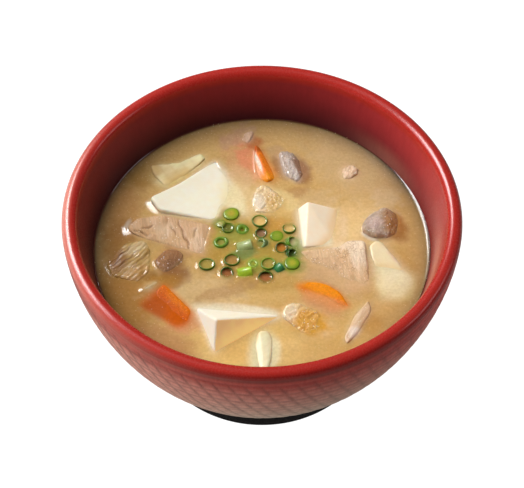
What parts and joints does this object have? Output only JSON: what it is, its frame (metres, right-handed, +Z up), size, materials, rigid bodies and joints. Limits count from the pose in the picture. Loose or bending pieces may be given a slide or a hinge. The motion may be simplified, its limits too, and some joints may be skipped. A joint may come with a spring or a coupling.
{
  "type": "bowl of pork miso soup",
  "caption": "Lacquered round soup bowl filled with miso soup, tofu, sliced pork, carrot, root vegetables, onion and chopped scallion, as one serving of prepared food.",
  "frame": {"origin": "middle of the bowl's underside, on the surface that its foot ring stands on", "axes": "+Z up along the bowl's axis, -Y towards the viewer in front, +X to the viewer's right"},
  "size_m": [0.126, 0.126, 0.067],
  "materials": {
    "lacquer": "glossy red lacquer over turned wood, carved outside with fine rings crossed by slanting lines",
    "foot_black": "black lacquer on the foot ring",
    "broth": "cloudy miso broth with a wet surface",
    "scallion": "wet chopped scallion, from pale yellow-green to dark green",
    "tofu": "soft moist bean curd, fine pores on its cut faces, stands in for tofu",
    "pork": "simmered thin pork with fibres and fat, moist",
    "carrot": "simmered carrot, wet and glossy, darker towards its rim",
    "burdock": "grey-lilac root with pale speckles, moist, brown where it sinks",
    "daikon": "translucent simmered white root, wet",
    "onion": "translucent layered leaf with fine ribs, wet",
    "shaving": "thin pale strip, wet"
  },
  "bodies": {
    "root": {"bowl": "lacquer", "soup": "broth", "tofu_right": "tofu", "tofu_front": "tofu", "tofu_left": "tofu", "pork_left": "pork", "pork_right": "pork", "pork_scrap_back": "pork", "pork_scrap_right": "pork", "carrot_back": "carrot", "carrot_left": "carrot", "carrot_right": "carrot", "burdock_back": "burdock", "burdock_right": "burdock", "burdock_left": "burdock", "burdock_shaving": "shaving", "daikon_back": "daikon", "daikon_front": "daikon", "taro_right": "daikon", "onion_left": "onion", "onion_back": "onion", "onion_scrap": "onion", "leek_front": "onion"}
  },
  "joints": []
}
